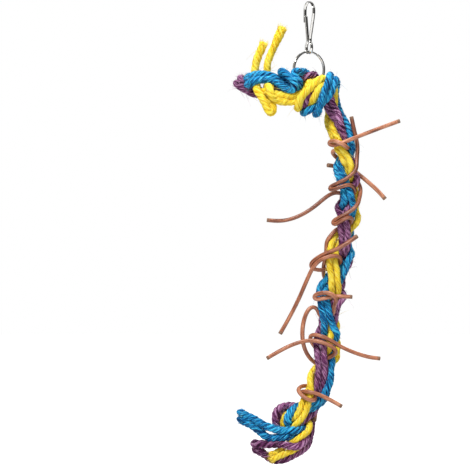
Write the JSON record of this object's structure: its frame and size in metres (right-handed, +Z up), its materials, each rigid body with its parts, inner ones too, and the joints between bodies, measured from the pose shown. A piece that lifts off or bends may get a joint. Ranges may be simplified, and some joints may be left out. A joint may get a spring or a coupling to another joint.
{
  "type": "rope bird toy",
  "caption": "Hanging chew toy for a pet bird: plaited, knotted sisal rope in yellow, blue and purple with leather laces hitched along it, on a split ring and a metal snap clip.",
  "frame": {"origin": "The point inside the crown of the snap clip that rests on a cage bar when the toy hangs.", "axes": "+Z is up along the hanging toy, +X is to the right as the picture shows it, +Y points away from the viewer."},
  "size_m": [0.1232, 0.0317, 0.3463],
  "materials": {
    "nickel_clip": "bright nickel plate on sprung steel strip",
    "nickel_ring": "bright nickel plate on flat steel wire",
    "yellow_sisal": "dyed sisal fibre, laid in three yarns, hairy",
    "blue_sisal": "dyed sisal fibre, laid in three yarns, hairy",
    "purple_sisal": "dyed sisal fibre, laid in three yarns, hairy",
    "tan_leather": "smooth round-cut vegetable-tanned lace, paler at the cut ends"
  },
  "bodies": {
    "clip": {"clip_body": "nickel_clip"},
    "gate": {"clip_gate": "nickel_clip"},
    "ring": {"split_ring": "nickel_ring"},
    "rope": {"yellow_strand_a": "yellow_sisal", "yellow_strand_b": "yellow_sisal", "blue_strand_a": "blue_sisal", "blue_strand_b": "blue_sisal", "purple_strand_a": "purple_sisal", "purple_strand_b": "purple_sisal", "leather_lace_1": "tan_leather", "leather_lace_2": "tan_leather", "leather_lace_3": "tan_leather", "leather_lace_4": "tan_leather", "leather_lace_5": "tan_leather", "leather_lace_6": "tan_leather", "leather_lace_7": "tan_leather"}
  },
  "joints": [
    {"name": "gate_flex", "type": "hinge", "parent": "clip", "child": "gate", "pos_m": [-0.0007, 0.00121, -0.02865], "axis": [0.866, 0.5, 0], "range_deg": [0, 12], "stiffness_Nm_per_rad": 0.2},
    {"name": "ring_tilt", "type": "hinge", "parent": "clip", "child": "ring", "pos_m": [0.00015, -0.00026, -0.037], "axis": [-0.866, -0.5, 0], "range_deg": [-50, 50]},
    {"name": "rope_swing", "type": "hinge", "parent": "ring", "child": "rope", "pos_m": [0.00015, -0.00026, -0.0502], "axis": [-0.5, 0.866, 0], "range_deg": [-35, 15]}
  ]
}
